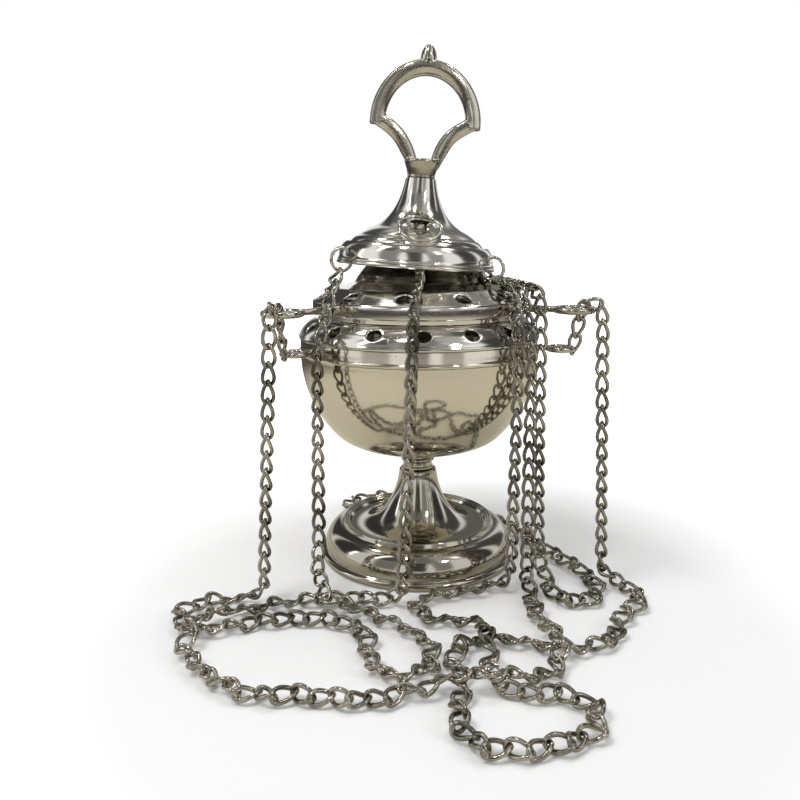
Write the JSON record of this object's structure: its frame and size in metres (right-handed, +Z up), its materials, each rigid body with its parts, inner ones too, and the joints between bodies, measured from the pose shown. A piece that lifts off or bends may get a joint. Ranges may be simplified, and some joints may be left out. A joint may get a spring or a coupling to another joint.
{
  "type": "hanging censer",
  "caption": "Footed metal censer: round bowl with a charcoal pan, pierced two-tier lid, bell-shaped cap with a bow handle, and curb chains laid out on the ground.",
  "frame": {"origin": "on the ground, under the middle of the box round the rigid pieces; the censer's own axis stands 11.75 mm in front of it, because the lid's back loop reaches further than its front", "axes": "+Z up, +Y away from the viewer of the picture, towards the back chain loop; +X to the viewer's right"},
  "size_m": [0.1872, 0.2284, 0.2211],
  "materials": {
    "plate": "polished silver plate on brass, lightly scratched",
    "cast": "plated casting, polished",
    "steel": "plain steel",
    "chain": "plated wire, darker between the links"
  },
  "bodies": {
    "base": {"foot": "plate", "collar": "plate", "bowl": "plate", "tie_bolt": "steel", "tie_washer": "steel", "tie_nut": "steel", "bowl_loop_left": "cast", "bowl_loop_right": "cast", "bowl_loop_back": "cast", "chain_left_floor": "chain", "chain_right_floor": "chain", "chain_back_floor": "chain", "lid_chain_floor": "chain"},
    "pan": {"charcoal_pan": "steel"},
    "lid": {"lid_skirt": "plate", "lid_crown": "plate", "lid_finial": "cast", "lid_loop_left": "cast", "lid_loop_right": "cast", "lid_loop_back": "cast", "chain_left_hang": "chain", "chain_right_hang": "chain", "chain_back_hang": "chain", "lid_chain_drop": "chain"},
    "cap": {"cap_bell": "plate", "handle": "cast", "handle_washer": "steel", "handle_nut": "steel", "chain_left_top": "chain", "chain_right_top": "chain", "chain_back_top": "chain", "lid_chain_return": "chain"},
    "ring_left": {"cap_ring_left": "steel"},
    "ring_right": {"cap_ring_right": "steel"},
    "ring_back": {"cap_ring_back": "steel"},
    "pull": {"pull_ring": "steel"}
  },
  "joints": [
    {"name": "pan_lift", "type": "slide", "parent": "base", "child": "pan", "axis": [0, 0, 1], "range_m": [0, 0.04]},
    {"name": "lid_lift", "type": "slide", "parent": "base", "child": "lid", "axis": [0, 0, 1], "range_m": [0, 0.06], "deforming": ["chain_left_hang", "chain_right_hang", "chain_back_hang", "lid_chain_drop", "chain_left_top", "chain_right_top", "chain_back_top", "lid_chain_return"]},
    {"name": "cap_lift", "type": "slide", "parent": "lid", "child": "cap", "axis": [0, 0, 1], "range_m": [0, 0.06], "deforming": ["chain_left_hang", "chain_right_hang", "chain_back_hang", "lid_chain_drop", "chain_left_top", "chain_right_top", "chain_back_top", "lid_chain_return"]},
    {"name": "ring_left_swing", "type": "hinge", "parent": "cap", "child": "ring_left", "pos_m": [-0.03138, -0.02513, 0.13913], "axis": [0.4059, -0.9136, -0.0255], "range_deg": [0, 25], "deforming": ["chain_left_top"]},
    {"name": "ring_right_swing", "type": "hinge", "parent": "cap", "child": "ring_right", "pos_m": [0.02518, -0.03109, 0.13557], "axis": [0.5866, 0.809, -0.0369], "range_deg": [0, 25], "deforming": ["chain_right_top"]},
    {"name": "ring_back_swing", "type": "hinge", "parent": "cap", "child": "ring_back", "pos_m": [0.00205, 0.02097, 0.13703], "axis": [-0.9926, 0.1045, 0.0624], "range_deg": [0, 25], "deforming": ["chain_back_top"]},
    {"name": "pull_ring_swing", "type": "hinge", "parent": "cap", "child": "pull", "pos_m": [-0.00227, -0.02969, 0.15316], "axis": [-0.9926, 0.1045, 0.0624], "range_deg": [0, 100], "deforming": ["lid_chain_return"]}
  ]
}
